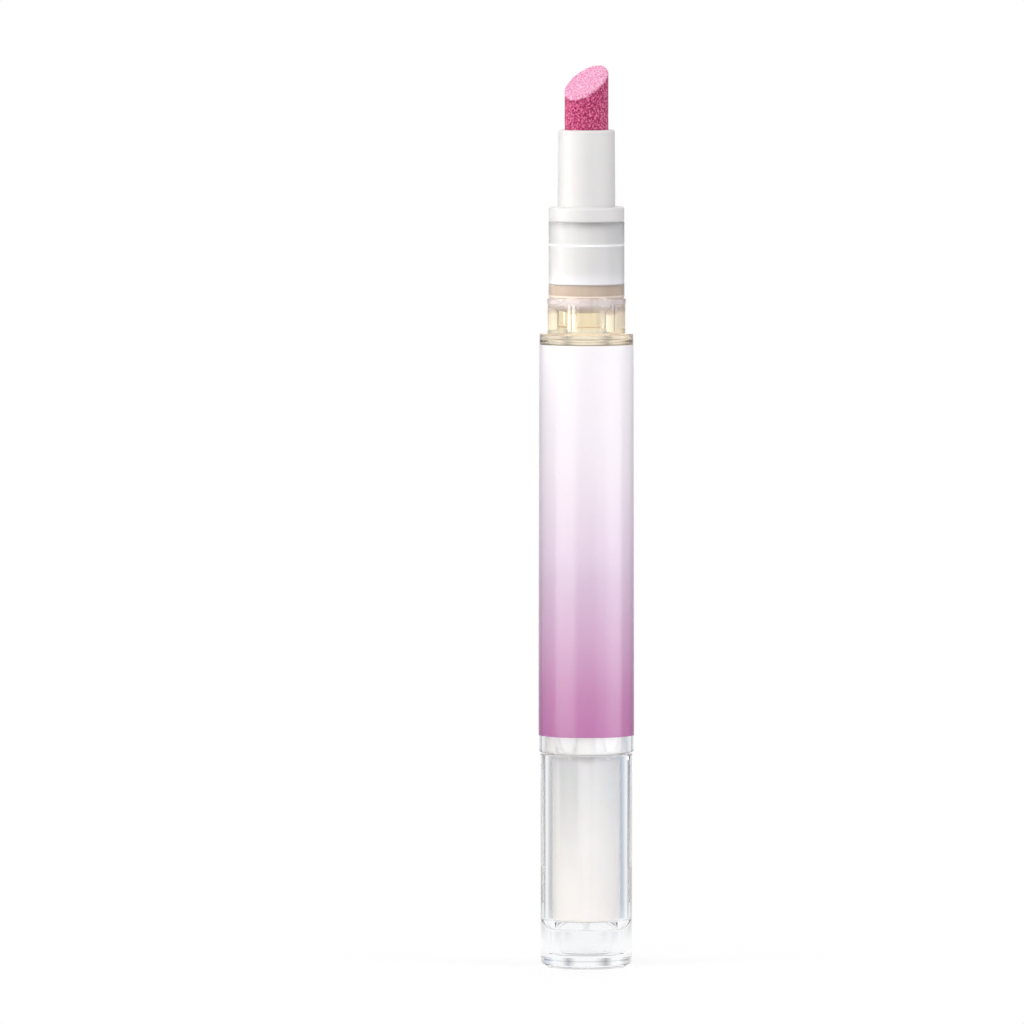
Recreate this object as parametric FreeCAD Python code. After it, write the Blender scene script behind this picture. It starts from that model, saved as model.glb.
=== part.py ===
import FreeCAD, Part
import math
import os

# Twist-feed nail oil pen, standing on its knob with the sponge tip up.
# Millimetres, +Z up, origin at the middle of the knob's base, front at -Y.
# One turn of the knob screws the rod and piston up by one pitch, and a ratchet
# lets the knob turn one way only.

V = FreeCAD.Vector
ORIGIN = V(0, 0, 0)
UP = V(0, 0, 1)

# Clearances.
INSERT_GAP = 0.03
LIP_GAP = 0.03
BEARING_GAP = 0.08
DRIVE_GAP = 0.06
THREAD_GAP = 0.12
FLANK_GAP = 0.28
PAWL_GAP = 0.06
RING_GAP = 0.1
CORE_GAP = 0.1
KEY_GAP = 0.05
SNAP_GAP = 0.3
PLUG_GAP = 0.05
SEAL_GAP = 0.01
SPONGE_GAP = 0.05
JOINT_GAP = 0.2
END_GAP = 0.1

# Feed: 10 turns empty the 2 ml that the bore holds above the piston.
BORE_R = 5.0
PITCH = 2.6
TURNS = 10
STROKE = PITCH * TURNS

# Ratchet sleeve: an insert in the barrel's foot with inward teeth.
SLEEVE_WALL = 0.47
TOOTH_H = 0.35
RATCHET_TEETH = 18
RATCHET_DEPTH = 2.8
RAMP_SHARE = 0.925
INSERT_R = BORE_R - INSERT_GAP
RATCHET_ROOT_R = INSERT_R - SLEEVE_WALL
RATCHET_TIP_R = RATCHET_ROOT_R - TOOTH_H

# Click spring: a ring with three trailing pawls and two dogs.
RING_T = 0.63
RING_H = 0.85
PAWLS = 3
ARM_T = 0.3
ARM_H = 1.65
DOG_W = 1.0
DOG_H = 0.7
RING_R1 = RATCHET_TIP_R - RING_GAP
RING_R0 = RING_R1 - RING_T

# Drive core: pressed into the knob, with a quill that turns in the sleeve.
CORE_LEDGE = 0.15
CORE_FLOOR = 1.2
QUILL_WALL = 0.5
COLLAR_H = 6.3
SNAP_H = 0.8
SNAP_PROUD = 0.3
SNAP_DROP = 2.0
KEY_W = 0.8
KEY_H = 0.35
KEY_LENGTH = 14.0
CORE_R = RING_R1 + CORE_LEDGE
QUILL_R = RING_R0 - RING_GAP
CORE_BORE_R = QUILL_R - QUILL_WALL

# Feed rod: a flat bar with thread teeth on its edges, a mushroom top end.
ROD_HEAD_H = 1.0
ROD_HEAD_PROUD = 0.1
ROD_STAND = 0.4
THREAD_DEPTH = 0.5
CREST_W = 0.8
FLANK_SLOPE = 0.5
FLAT_DEPTH = 1.5
MUSHROOM_H = 1.6
MUSHROOM_PROUD = 0.5
PIN_R = 1.3
ROD_HEAD_R = CORE_BORE_R - JOINT_GAP
ROD_R = ROD_HEAD_R - ROD_HEAD_PROUD
ROD_ROOT_R = ROD_R - THREAD_DEPTH
ROD_FLAT = ROD_R - FLAT_DEPTH
MUSHROOM_R = PIN_R + MUSHROOM_PROUD

# Knob shell: a thick clear wall, a well in the base and a conical seat.
KNOB_H = 26.8
KNOB_WALL = 1.5
KNOB_ROUND = 0.9
KNOB_FLOOR = 1.6
WELL_DEPTH = 3.2
WELL_R = 3.35
SEAT_H = 1.2
SEAT_LIFT = 0.5
EDGE = 0.2
KNOB_BORE_R = CORE_R + CORE_GAP
KNOB_R = KNOB_BORE_R + KNOB_WALL
SEAT_Z0 = KNOB_FLOOR + WELL_DEPTH
SEAT_Z1 = SEAT_Z0 + SEAT_H

# Heights of the feed train, from the knob up to the nut.
CORE_Z0 = SEAT_Z0 + SEAT_LIFT
STORE_Z0 = CORE_Z0 + CORE_FLOOR
ROD_Z0 = STORE_Z0 + END_GAP
COLLAR_Z0 = ROD_Z0 + ROD_HEAD_H + STROKE + END_GAP
QUILL_TOP_Z = COLLAR_Z0 + COLLAR_H
SNAP_Z = QUILL_TOP_Z - SNAP_DROP
CORE_SHOULDER_Z = KNOB_H - JOINT_GAP
RING_Z0 = CORE_SHOULDER_Z + KEY_GAP
ARM_Z0 = RING_Z0 + RING_H + JOINT_GAP
ARM_Z1 = ARM_Z0 + ARM_H
SLEEVE_TOP_GAP = 0.4
NUT_H = 5.6
NUT_TURNS = 1.4
SLEEVE_Z0 = KNOB_H + JOINT_GAP
SLEEVE_Z1 = QUILL_TOP_Z + SLEEVE_TOP_GAP
NUT_Z1 = SLEEVE_Z1 + NUT_H
ROD_TOP_Z = NUT_Z1 + ROD_STAND
THREAD_Z0 = SLEEVE_Z1 - STROKE

# Piston: two wiping lips, and a snap socket for the rod's mushroom.
PISTON_H = 5.4
LIP_H = 1.2
LIP_DEPTH = 0.47
FRONT_CHAMFER = 0.7
SOCKET_LIP_H = 1.6
SOCKET_TOP_GAP = 0.4
LIP_R = BORE_R - LIP_GAP
PISTON_Z0 = ROD_TOP_Z + JOINT_GAP
PISTON_Z1 = PISTON_Z0 + PISTON_H
SOCKET_Z0 = PISTON_Z0 + SOCKET_LIP_H
MUSHROOM_Z0 = SOCKET_Z0 + JOINT_GAP
MUSHROOM_Z1 = MUSHROOM_Z0 + MUSHROOM_H
SOCKET_Z1 = MUSHROOM_Z1 + SOCKET_TOP_GAP

# Barrel: one clear moulding, bore below, neck with a bead above.
BARREL_WALL = 0.95
SHOULDER_WALL = 0.8
SHOULDER_ROUND = 0.5
NECK_R = 4.78
NECK_WALL = 0.98
NECK_FOOT_STEP = 0.12
NECK_H = 14.0
BEAD_PROUD = 0.04
BEAD_H = 0.75
BEAD_RISE = 3.6
BARREL_R = BORE_R + BARREL_WALL
NECK_BORE_R = NECK_R - NECK_WALL
NECK_FOOT_R = NECK_R + NECK_FOOT_STEP
BEAD_R = NECK_FOOT_R + BEAD_PROUD
BARREL_Z0 = SLEEVE_Z0
FUNNEL_Z0 = PISTON_Z1 - FRONT_CHAMFER + STROKE + END_GAP
FUNNEL_Z1 = FUNNEL_Z0 + BORE_R - NECK_BORE_R
SHOULDER_Z = FUNNEL_Z1 + SHOULDER_WALL
BEAD_Z0 = SHOULDER_Z + BEAD_RISE
BEAD_Z1 = BEAD_Z0 + BEAD_H
NECK_TOP_Z = SHOULDER_Z + NECK_H

# Label: a film around the barrel, its seam at the back.
LABEL_T = 0.07
LABEL_FOOT = 2.1
LABEL_HEAD = 1.4
LABEL_SEAM = 0.5
LABEL_Z0 = BARREL_Z0 + LABEL_FOOT
LABEL_Z1 = SHOULDER_Z - LABEL_HEAD

# Tip holder: legs, nose and plug in the neck, a flange and a stem above.
LEGS = 4
LEG_TURN = -30.0
LEG_W = 0.85
LEG_T = 0.95
LEG_H = 2.4
OIL_FILM = 0.35
NOSE_H = 3.5
PLUG_H = 7.9
SEAL_DROP = 3.0
SEAL_H = 0.4
FLANGE_STEP = 0.06
FLANGE_H = 1.8
STEM_R = 3.6
STEM_H = 9.6
FEED_R = 1.0
POCKET_R = 2.8
POCKET_DEPTH = 4.8
PLUG_R = NECK_BORE_R - PLUG_GAP
SEAL_R = NECK_BORE_R - SEAL_GAP
NOSE_R = NECK_BORE_R - OIL_FILM
FLANGE_R = NECK_R - FLANGE_STEP
PLUG_Z0 = NECK_TOP_Z - PLUG_H
NOSE_Z0 = PLUG_Z0 - NOSE_H
LEG_Z0 = NOSE_Z0 - LEG_H
SEAL_Z = NECK_TOP_Z - SEAL_DROP
FLANGE_Z1 = NECK_TOP_Z + FLANGE_H
STEM_TOP_Z = FLANGE_Z1 + STEM_H
POCKET_Z = STEM_TOP_Z - POCKET_DEPTH

# Sponge tip: a foam rod cut at a slant, low at the front left.
SPONGE_STAND = 6.15
SLANT_X = 0.48
SLANT_Y = 0.58
SPONGE_EDGE = 0.3
SPONGE_R = POCKET_R - SPONGE_GAP
SLANT_Z = STEM_TOP_Z + SPONGE_STAND


def turned(outline):
    """A solid turned about the axis from (radius, height) corners."""
    points = [V(r, 0, z) for r, z in outline]
    face = Part.Face(Part.makePolygon(points + points[:1]))
    return face.revolve(ORIGIN, UP, 360)


def tube(r0, r1, z0, z1):
    return turned([(r0, z0), (r1, z0), (r1, z1), (r0, z1)])


def arc(r, z, radius, a0, a1, steps):
    """Outline points along an arc about (r, z), from a0 to a1 degrees."""
    angles = [math.radians(a0 + (a1 - a0) * i / steps) for i in range(steps + 1)]
    return [(r + radius * math.cos(a), z + radius * math.sin(a)) for a in angles]


def top_edge(r, z):
    """The eased upper outer edge of an outline that goes up its outside."""
    return [(r, z - EDGE), (r - EDGE, z)]


def block(x0, x1, y0, y1, z0, z1):
    return Part.makeBox(x1 - x0, y1 - y0, z1 - z0, V(x0, y0, z0))


def rod_of(r, z0, z1):
    return Part.makeCylinder(r, z1 - z0, V(0, 0, z0))


def between_flats(half, z0, z1):
    """The space between two flats that face +X and -X."""
    return block(-half, half, -2 * BORE_R, 2 * BORE_R, z0, z1)


def turned_by(solid, degrees):
    copy = solid.copy()
    copy.rotate(ORIGIN, UP, degrees)
    return copy


def spread(solid, count, first=0.0):
    """Copies of a solid spaced evenly around the axis."""
    return [turned_by(solid, first + 360.0 * i / count) for i in range(count)]


def prism(corners, z0, z1):
    """A flat outline of (radius, degrees) corners, raised from z0 to z1."""
    points = [V(r * math.cos(math.radians(a)), r * math.sin(math.radians(a)), z0) for r, a in corners]
    face = Part.Face(Part.makePolygon(points + points[:1]))
    return face.extrude(V(0, 0, z1 - z0))


def sector(r0, r1, z0, z1, a0, a1):
    """Part of a ring between two angles in degrees."""
    points = [V(r0, 0, z0), V(r1, 0, z0), V(r1, 0, z1), V(r0, 0, z1)]
    face = Part.Face(Part.makePolygon(points + points[:1]))
    return turned_by(face.revolve(ORIGIN, UP, a1 - a0), a0)


def swept_ridge(outline, turns):
    """A right-hand thread ridge from (radius, height) corners."""
    helix = Part.makeHelix(PITCH, PITCH * turns, outline[0][0])
    points = [V(r, 0, z) for r, z in outline]
    section = Part.makePolygon(points + points[:1])
    return Part.Wire(helix.Edges).makePipeShell([section], True, True)


def tooth_half(r):
    """Half the axial width of the rod's teeth at a distance from the axis."""
    return CREST_W / 2 + FLANK_SLOPE * (ROD_R - r)


def knob_shell():
    base = arc(KNOB_R - KNOB_ROUND, KNOB_ROUND, KNOB_ROUND, -90, 0, 2)
    hollow = [
        (KNOB_BORE_R, KNOB_H),
        (KNOB_BORE_R, SEAT_Z1),
        (WELL_R, SEAT_Z0),
        (WELL_R, KNOB_FLOOR),
        (0, KNOB_FLOOR),
    ]
    body = turned([(0, 0)] + base + top_edge(KNOB_R, KNOB_H) + hollow)
    half = KEY_W / 2 + KEY_GAP
    reach = CORE_R + KEY_H + CORE_GAP
    low = CORE_SHOULDER_Z - KEY_LENGTH - END_GAP
    return body.cut(block(-reach, reach, -half, half, low, KNOB_H))


def drive_core():
    slope = (KNOB_BORE_R - WELL_R) / SEAT_H
    foot_r = WELL_R + slope * SEAT_LIFT - CORE_GAP
    body = turned([
        (0, CORE_Z0),
        (foot_r, CORE_Z0),
        (CORE_R, CORE_Z0 + (CORE_R - foot_r) / slope),
        (CORE_R, CORE_SHOULDER_Z),
        (QUILL_R, CORE_SHOULDER_Z),
        (QUILL_R, SNAP_Z - SNAP_H / 2),
        (QUILL_R + SNAP_PROUD, SNAP_Z - SNAP_H / 2 + SNAP_PROUD),
        (QUILL_R, SNAP_Z + SNAP_H / 2),
        (QUILL_R, QUILL_TOP_Z),
        (0, QUILL_TOP_Z),
    ])
    reach = CORE_R + KEY_H
    body = body.fuse(
        block(-reach, reach, -KEY_W / 2, KEY_W / 2, CORE_SHOULDER_Z - KEY_LENGTH, CORE_SHOULDER_Z)
    )
    store = rod_of(CORE_BORE_R, STORE_Z0, COLLAR_Z0)
    drive = rod_of(ROD_R + DRIVE_GAP, STORE_Z0, QUILL_TOP_Z)
    drive = drive.common(between_flats(ROD_FLAT + DRIVE_GAP, STORE_Z0, QUILL_TOP_Z))
    half = DOG_W / 2 + KEY_GAP
    low = RING_Z0 - DOG_H - END_GAP
    slot = block(-half, half, RING_R0 - KEY_GAP, BORE_R, low, CORE_SHOULDER_Z)
    return body.cut([store, drive] + spread(slot, 2))


def click_spring():
    ring = tube(RING_R0, RING_R1, RING_Z0, RING_Z0 + RING_H)
    dog = tube(RING_R0, RING_R1, RING_Z0 - DOG_H, RING_Z0 + RING_H)
    dog = dog.common(block(-DOG_W / 2, DOG_W / 2, 0, BORE_R, RING_Z0 - DOG_H, RING_Z0 + RING_H))
    arm_r = RING_R1 - ARM_T
    arm = sector(arm_r, RING_R1, ARM_Z0, ARM_Z1, 12, 80)
    post = sector(RING_R0, RING_R1, RING_Z0, ARM_Z1, 76, 90)
    # The tip lies in a tooth's valley: steep side first, then along its ramp.
    fall = TOOTH_H * RATCHET_TEETH / (RAMP_SHARE * 360)
    valley_r = RATCHET_ROOT_R - PAWL_GAP
    tip = prism(
        [
            (arm_r, -0.5),
            (RING_R1, -1.1),
            (valley_r - fall * 0.5, 0.5),
            (valley_r - fall * 14, 14),
            (RING_R1, 17),
            (arm_r, 17),
        ],
        ARM_Z0,
        ARM_Z1,
    )
    return ring.fuse(spread(dog, 2) + spread(arm.fuse([post, tip]), PAWLS))


def ratchet_sleeve():
    bore_r = QUILL_R + BEARING_GAP
    groove_r = QUILL_R + SNAP_PROUD + SNAP_GAP
    half = SNAP_H / 2 + SNAP_GAP
    body = tube(bore_r, INSERT_R, SLEEVE_Z0, SLEEVE_Z1)
    groove = tube(bore_r, groove_r, SNAP_Z - half, SNAP_Z + half)
    step = 360.0 / RATCHET_TEETH
    corners = []
    for i in range(RATCHET_TEETH):
        corners.append((RATCHET_ROOT_R, i * step))
        corners.append((RATCHET_ROOT_R - TOOTH_H / 2, (i + RAMP_SHARE / 2) * step))
        corners.append((RATCHET_TIP_R, (i + RAMP_SHARE) * step))
    teeth = prism(corners, SLEEVE_Z0, SLEEVE_Z0 + RATCHET_DEPTH)
    return body.cut([groove, teeth])


def thread_nut():
    hole_r = ROD_R + THREAD_GAP
    body = tube(hole_r, INSERT_R, SLEEVE_Z1, NUT_Z1)
    crest_r = ROD_ROOT_R + THREAD_GAP
    buried_r = hole_r + THREAD_GAP
    crest = PITCH / 2 - tooth_half(crest_r) - FLANK_GAP
    root = PITCH / 2 - tooth_half(buried_r) - FLANK_GAP
    ridge = swept_ridge(
        [(buried_r, -root), (crest_r, -crest), (crest_r, crest), (buried_r, root)], NUT_TURNS
    )
    # The ridge runs midway between two rows of the rod's teeth.
    start = (SLEEVE_Z1 + NUT_Z1 - PITCH * NUT_TURNS) / 2
    ridge.translate(V(0, 0, start))
    ridge.rotate(ORIGIN, UP, 360 * (start - THREAD_Z0 - PITCH / 4) / PITCH)
    return body.fuse(ridge)


def rod_tooth():
    """One tooth on the rod's +Y edge, slanted by the thread's lead, its crest in three flats."""
    rise = PITCH * math.asin(ROD_FLAT / ROD_R) / (2 * math.pi)
    low_y = root_y() - EDGE
    points = [
        V(ROD_FLAT, low_y, -rise - tooth_half(low_y)),
        V(ROD_FLAT, ROD_R, -rise - CREST_W / 2),
        V(ROD_FLAT, ROD_R, -rise + CREST_W / 2),
        V(ROD_FLAT, low_y, -rise + tooth_half(low_y)),
    ]
    face = Part.Face(Part.makePolygon(points + points[:1]))
    tooth = face.extrude(V(-2 * ROD_FLAT, 0, 2 * rise))
    half = math.degrees(math.asin(ROD_FLAT / ROD_R))
    crest = [(ROD_R, 90 + half * share) for share in (-1, -1 / 3, 1 / 3, 1)]
    return tooth.common(prism([(ROD_FLAT, 0)] + crest + [(ROD_FLAT, 180)], -PITCH, PITCH))


def root_y():
    """The bar's edges between teeth, whose corners reach the thread's root."""
    return math.sqrt(ROD_ROOT_R ** 2 - ROD_FLAT ** 2)


def screw_rod():
    shank_z = ROD_Z0 + ROD_HEAD_H
    tooth_room = tooth_half(ROD_ROOT_R) + PITCH / 8
    shank = rod_of(ROD_R, shank_z, THREAD_Z0 - tooth_room)
    shank = shank.common(between_flats(ROD_FLAT, shank_z, ROD_TOP_Z))
    bar = block(-ROD_FLAT, ROD_FLAT, -root_y(), root_y(), shank_z, ROD_TOP_Z)
    ends = turned([
        (0, ROD_TOP_Z - ROD_STAND),
        (ROD_ROOT_R, ROD_TOP_Z - ROD_STAND),
        (ROD_ROOT_R, ROD_TOP_Z),
        (PIN_R, ROD_TOP_Z),
        (PIN_R, MUSHROOM_Z0),
        (MUSHROOM_R, MUSHROOM_Z0),
        (PIN_R, MUSHROOM_Z1),
        (0, MUSHROOM_Z1),
    ])
    teeth = []
    z = THREAD_Z0
    while z + tooth_room < NUT_Z1:
        tooth = turned_by(rod_tooth(), 180 * len(teeth))
        tooth.translate(V(0, 0, z))
        teeth.append(tooth)
        z += PITCH / 2
    head = rod_of(ROD_HEAD_R, ROD_Z0, shank_z)
    return head.fuse([shank, bar, ends] + teeth).removeSplitter()


def piston():
    waist_r = LIP_R - LIP_DEPTH
    front_z = PISTON_Z1 - FRONT_CHAMFER
    return turned([
        (PIN_R + JOINT_GAP, PISTON_Z0),
        (LIP_R, PISTON_Z0),
        (LIP_R, PISTON_Z0 + LIP_H),
        (waist_r, PISTON_Z0 + LIP_H),
        (waist_r, front_z - LIP_H),
        (LIP_R, front_z - LIP_H),
        (LIP_R, front_z),
        (LIP_R - FRONT_CHAMFER, PISTON_Z1),
        (0, PISTON_Z1),
        (0, SOCKET_Z1),
        (MUSHROOM_R + JOINT_GAP, SOCKET_Z1),
        (MUSHROOM_R + JOINT_GAP, SOCKET_Z0),
        (PIN_R + JOINT_GAP, SOCKET_Z0),
    ])


def barrel():
    foot = [(BARREL_R - EDGE, BARREL_Z0), (BARREL_R, BARREL_Z0 + EDGE)]
    shoulder = arc(BARREL_R - SHOULDER_ROUND, SHOULDER_Z - SHOULDER_ROUND, SHOULDER_ROUND, 0, 90, 2)
    neck = [
        (NECK_FOOT_R, SHOULDER_Z),
        (NECK_FOOT_R, BEAD_Z0),
        (BEAD_R, BEAD_Z0 + BEAD_PROUD),
        (BEAD_R, BEAD_Z1),
        (NECK_R, BEAD_Z1),
        (NECK_R, NECK_TOP_Z),
    ]
    inside = [
        (NECK_BORE_R, NECK_TOP_Z),
        (NECK_BORE_R, FUNNEL_Z1),
        (BORE_R, FUNNEL_Z0),
        (BORE_R, BARREL_Z0),
    ]
    return turned(foot + shoulder + neck + inside)


def label():
    half = math.degrees(LABEL_SEAM / 2 / BARREL_R)
    return sector(BARREL_R, BARREL_R + LABEL_T, LABEL_Z0, LABEL_Z1, 90 + half, 450 - half)


def tip_holder():
    plug = [
        (0, NOSE_Z0),
        (NOSE_R, NOSE_Z0),
        (NOSE_R, PLUG_Z0),
        (PLUG_R, PLUG_Z0),
        (PLUG_R, SEAL_Z - SEAL_H),
        (SEAL_R, SEAL_Z),
        (PLUG_R, SEAL_Z + SEAL_H),
        (PLUG_R, NECK_TOP_Z),
        (FLANGE_R, NECK_TOP_Z),
    ]
    stem = [(STEM_R, FLANGE_Z1)] + top_edge(STEM_R, STEM_TOP_Z)
    body = turned(plug + top_edge(FLANGE_R, FLANGE_Z1) + stem + [(0, STEM_TOP_Z)])
    leg = tube(NOSE_R - LEG_T, NOSE_R, LEG_Z0, NOSE_Z0)
    leg = leg.common(block(-LEG_W / 2, LEG_W / 2, -BORE_R, 0, LEG_Z0, NOSE_Z0))
    body = body.fuse(spread(leg, LEGS, LEG_TURN))
    channel = rod_of(FEED_R, LEG_Z0, STEM_TOP_Z)
    pocket = rod_of(POCKET_R, POCKET_Z, STEM_TOP_Z)
    return body.cut([channel, pocket])


def sponge_tip():
    rod = rod_of(SPONGE_R, POCKET_Z + END_GAP, SLANT_Z + SPONGE_R)
    reach = 4 * SPONGE_R
    above = block(-reach, reach, -reach, reach, 0, reach)
    tilt = FreeCAD.Rotation(UP, V(-SLANT_X, -SLANT_Y, 1))
    above.Placement = FreeCAD.Placement(V(0, 0, SLANT_Z), tilt).multiply(above.Placement)
    rod = rod.cut(above)
    face = max(rod.Faces, key=lambda f: f.CenterOfMass.z)
    return rod.makeChamfer(SPONGE_EDGE, face.OuterWire.Edges)


def oil_fill():
    low = PISTON_Z1 + KEY_GAP
    fill = turned([
        (0, low),
        (BORE_R, low),
        (BORE_R, FUNNEL_Z0),
        (NECK_BORE_R, FUNNEL_Z1),
        (NECK_BORE_R, PLUG_Z0),
        (0, PLUG_Z0),
    ])
    return fill.cut(tip_holder())


NODES = [
    knob_shell,
    drive_core,
    click_spring,
    ratchet_sleeve,
    thread_nut,
    screw_rod,
    piston,
    barrel,
    label,
    oil_fill,
    tip_holder,
    sponge_tip,
]

os.makedirs("parts", exist_ok=True)
for make in NODES:
    name = make.__name__
    solid = make().Solids[0]
    solid.exportStep("parts/" + name + ".step")
    print(name, "z", round(solid.BoundBox.ZMin, 2), "to", round(solid.BoundBox.ZMax, 2))
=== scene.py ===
# %% [markdown]
# # A twist-feed nail oil pen
# The pen stands on its clear knob with the sponge tip up. Turning the knob screws a rod and a
# piston up the bore, and oil comes out through the sponge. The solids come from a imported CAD
# model. This lesson dresses them: clear mouldings, white polypropylene, golden oil, a printed
# film and dyed foam.

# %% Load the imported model
import math

import bmesh
import bpy
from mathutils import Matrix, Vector, noise


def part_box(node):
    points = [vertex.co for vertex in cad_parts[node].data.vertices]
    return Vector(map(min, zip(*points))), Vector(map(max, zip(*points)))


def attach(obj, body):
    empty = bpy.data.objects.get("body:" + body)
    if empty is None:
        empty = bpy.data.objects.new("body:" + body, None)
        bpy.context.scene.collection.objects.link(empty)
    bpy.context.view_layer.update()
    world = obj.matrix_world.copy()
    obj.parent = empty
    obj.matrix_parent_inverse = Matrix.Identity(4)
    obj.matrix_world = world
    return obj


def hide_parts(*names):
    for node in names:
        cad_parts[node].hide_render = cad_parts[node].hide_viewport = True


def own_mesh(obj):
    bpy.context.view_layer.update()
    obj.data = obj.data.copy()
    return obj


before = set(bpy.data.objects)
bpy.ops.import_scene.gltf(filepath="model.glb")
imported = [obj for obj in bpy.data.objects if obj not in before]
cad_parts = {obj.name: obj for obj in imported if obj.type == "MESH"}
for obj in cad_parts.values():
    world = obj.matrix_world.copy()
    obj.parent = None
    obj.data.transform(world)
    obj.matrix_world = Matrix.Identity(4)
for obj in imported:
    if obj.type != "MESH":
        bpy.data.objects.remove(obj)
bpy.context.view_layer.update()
print("CAD nodes:", ", ".join(sorted(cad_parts)))

# %% [markdown]
# ## Camera
# The photograph was taken from far away with a long lens, a little above the middle of the pen.
# A short lens would also fit the frame, but it would bend the rims into deeper ellipses, so the
# camera stands 1.87 m off and the lens is long enough for 128 mm to fill the picture. It aims
# to the left of the pen, which stands right of the middle.

# %% Camera
MM = 0.001
FRAME_WIDTH = 128 * MM
SENSOR = 36.0
CAMERA_FAR = 1.87
CAMERA_RISE = math.radians(3.3)
AIM = Vector((-9.3, 0.0, 57.0)) * MM


def put(name, data):
    """A new object in the scene, from the data of a camera, a lamp or a mesh."""
    made = bpy.data.objects.new(name, data)
    bpy.context.scene.collection.objects.link(made)
    return made


camera_data = bpy.data.cameras.new("photo_camera")
camera_data.sensor_width = SENSOR
camera_data.lens = SENSOR * CAMERA_FAR / FRAME_WIDTH
camera_data.clip_start = 0.1
camera_data.clip_end = 50.0
camera = put("photo_camera", camera_data)
sight = Vector((0.0, math.cos(CAMERA_RISE), -math.sin(CAMERA_RISE)))
camera.location = AIM - sight * CAMERA_FAR
camera.rotation_euler = sight.to_track_quat("-Z", "Y").to_euler()
bpy.context.scene.camera = camera
bpy.context.scene.view_settings.view_transform = "Standard"
# Light in clear plastic bounces many times between the walls before it comes out.
bpy.context.scene.cycles.max_bounces = 24
bpy.context.scene.cycles.glossy_bounces = 16
bpy.context.scene.cycles.transmission_bounces = 24
print("lens", round(camera_data.lens), "mm")

# %% [markdown]
# ## Colours and nodes
# Colours are written as the sRGB hex values that a colour picker shows, and one function turns
# them to the linear numbers that shaders need. A second small function adds any node with its
# settings and links, so that each material below reads as a short list. Nodes could be placed by
# hand in the editor too, but a list is easier to compare and to change.

# %% Helpers for materials
# A mix node's two colours are its sockets 6 and 7, and the mixed colour is its output 2.
MIX = {"data_type": "RGBA"}
SOFT_LIGHT = {"data_type": "RGBA", "blend_type": "SOFT_LIGHT"}


def colour(code):
    """The linear colour of an sRGB hex value."""
    parts = [int(code[i:i + 2], 16) / 255 for i in (1, 3, 5)]
    line = [c / 12.92 if c <= 0.04045 else ((c + 0.055) / 1.055) ** 2.4 for c in parts]
    return (*line, 1.0)


def add(tree, kind, settings=None, sockets=None, stops=()):
    """A node. A socket gets a value or another node's output, and a ramp gets rising stops."""
    node = tree.nodes.new(kind)
    for name, value in (settings or {}).items():
        setattr(node, name, value)
    for name, value in (sockets or {}).items():
        if isinstance(value, bpy.types.NodeSocket):
            tree.links.new(value, node.inputs[name])
        else:
            node.inputs[name].default_value = value
    if stops:
        elements = node.color_ramp.elements
        while len(elements) < len(stops):
            elements.new(0.5)
        for element, (where, _) in zip(elements, stops):
            element.position = where
        for element, (_, code) in zip(elements, stops):
            element.color = colour(code)
    return node


def start_material(name):
    """An empty material, its tree, and the place in mm, so a pattern's scale is its count per mm."""
    material = bpy.data.materials.new(name)
    material.use_nodes = True
    tree = material.node_tree
    tree.nodes.clear()
    place = add(tree, "ShaderNodeTexCoord")
    mm = add(tree, "ShaderNodeVectorMath", {"operation": "SCALE"},
             {0: place.outputs["Object"], "Scale": 1 / MM})
    return material, tree, mm.outputs[0]


print("middle grey is", round(colour("#808080")[0], 3), "in linear light")

# %% [markdown]
# ## Studio
# The pen stands on a small pale floor that takes its shadow and melts into a white room. Low
# strips stand left and right of the camera, and their reflections are the two pale bands on the
# label. Taller boxes above them, one high in front and one high behind light the pen without being
# mirrored in it. A small box lights the tip from the left, so the stem turns grey to its right.
# A bright room alone could light the pen too, but then no band would show where its sides turn.

# %% World
world = bpy.data.worlds.new("white_studio")
bpy.context.scene.world = world
world.use_nodes = True
sky = world.node_tree
sky.nodes.clear()
ray = add(sky, "ShaderNodeLightPath")
way = add(sky, "ShaderNodeTexCoord")
axes = add(sky, "ShaderNodeSeparateXYZ", None, {0: way.outputs["Generated"]})
sideways = add(sky, "ShaderNodeMapRange", None, {"Value": axes.outputs["X"], "From Min": -1.0})
# Behind the pen the room is white. The ceiling and the room behind the camera are darker, and the
# walls have grey stretches, which draws the edges of gloss and clear plastic.
mirrored = add(sky, "ShaderNodeValToRGB", None, {0: axes.outputs["Y"]},
               [(0.88, "#4E5055"), (0.98, "#FFFFFF")])
walls = add(sky, "ShaderNodeValToRGB", None, {0: sideways.outputs[0]},
            [(0.0, "#B4B4B6"), (0.14, "#D9D9DA"), (0.21, "#FFFFFF"), (0.29, "#FFFFFF"),
             (0.35, "#B4B5B7"), (0.41, "#EFEFF0"), (0.44, "#FFFFFF"), (0.58, "#FFFFFF"),
             (0.64, "#B9BCC2"), (0.7, "#FFFFFF"), (0.79, "#FAFCFF"), (0.86, "#D3DAE4"),
             (1.0, "#AEB4BE")])
ceiling = add(sky, "ShaderNodeValToRGB", None, {0: axes.outputs["Z"]},
              [(0.2, "#FFFFFF"), (0.4, "#4A4C50")])
through = add(sky, "ShaderNodeMix", {"data_type": "RGBA", "blend_type": "MULTIPLY"},
              {0: 1.0, 6: walls.outputs[0], 7: ceiling.outputs[0]})
room = add(sky, "ShaderNodeMix", MIX,
           {0: ray.outputs["Is Glossy Ray"], 6: colour("#C5C4C5"), 7: mirrored.outputs[0]})
room = add(sky, "ShaderNodeMix", MIX,
           {0: ray.outputs["Is Transmission Ray"], 6: room.outputs[2], 7: through.outputs[2]})
room = add(sky, "ShaderNodeMix", MIX,
           {0: ray.outputs["Is Camera Ray"], 6: room.outputs[2], 7: colour("#FFFFFF")})
light = add(sky, "ShaderNodeBackground", None, {"Color": room.outputs[2], "Strength": 1.0})
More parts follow.
